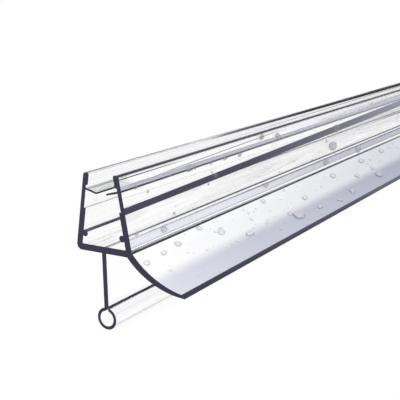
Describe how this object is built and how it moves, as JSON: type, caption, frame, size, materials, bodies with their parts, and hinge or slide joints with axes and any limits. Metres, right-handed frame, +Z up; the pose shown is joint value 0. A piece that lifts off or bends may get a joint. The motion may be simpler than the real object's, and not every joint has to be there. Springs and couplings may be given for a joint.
{
  "type": "shower door seal strip",
  "caption": "Clear plastic seal strip that clips under a glass shower door: hooked channel with wiper fins, web with a hollow bulb, and a curved drip lip.",
  "frame": {"origin": "bottom centre of the strip's box as it lies at rest, half way along its length", "axes": "+Y along the strip, away from the end that shows in the picture; +Z up, square to the floor it lies on; +X towards the drip lip"},
  "size_m": [0.018, 0.8, 0.0242],
  "materials": {
    "clear_pvc": "clear gloss"
  },
  "bodies": {
    "root": {"seal_strip": "clear_pvc"}
  },
  "joints": []
}
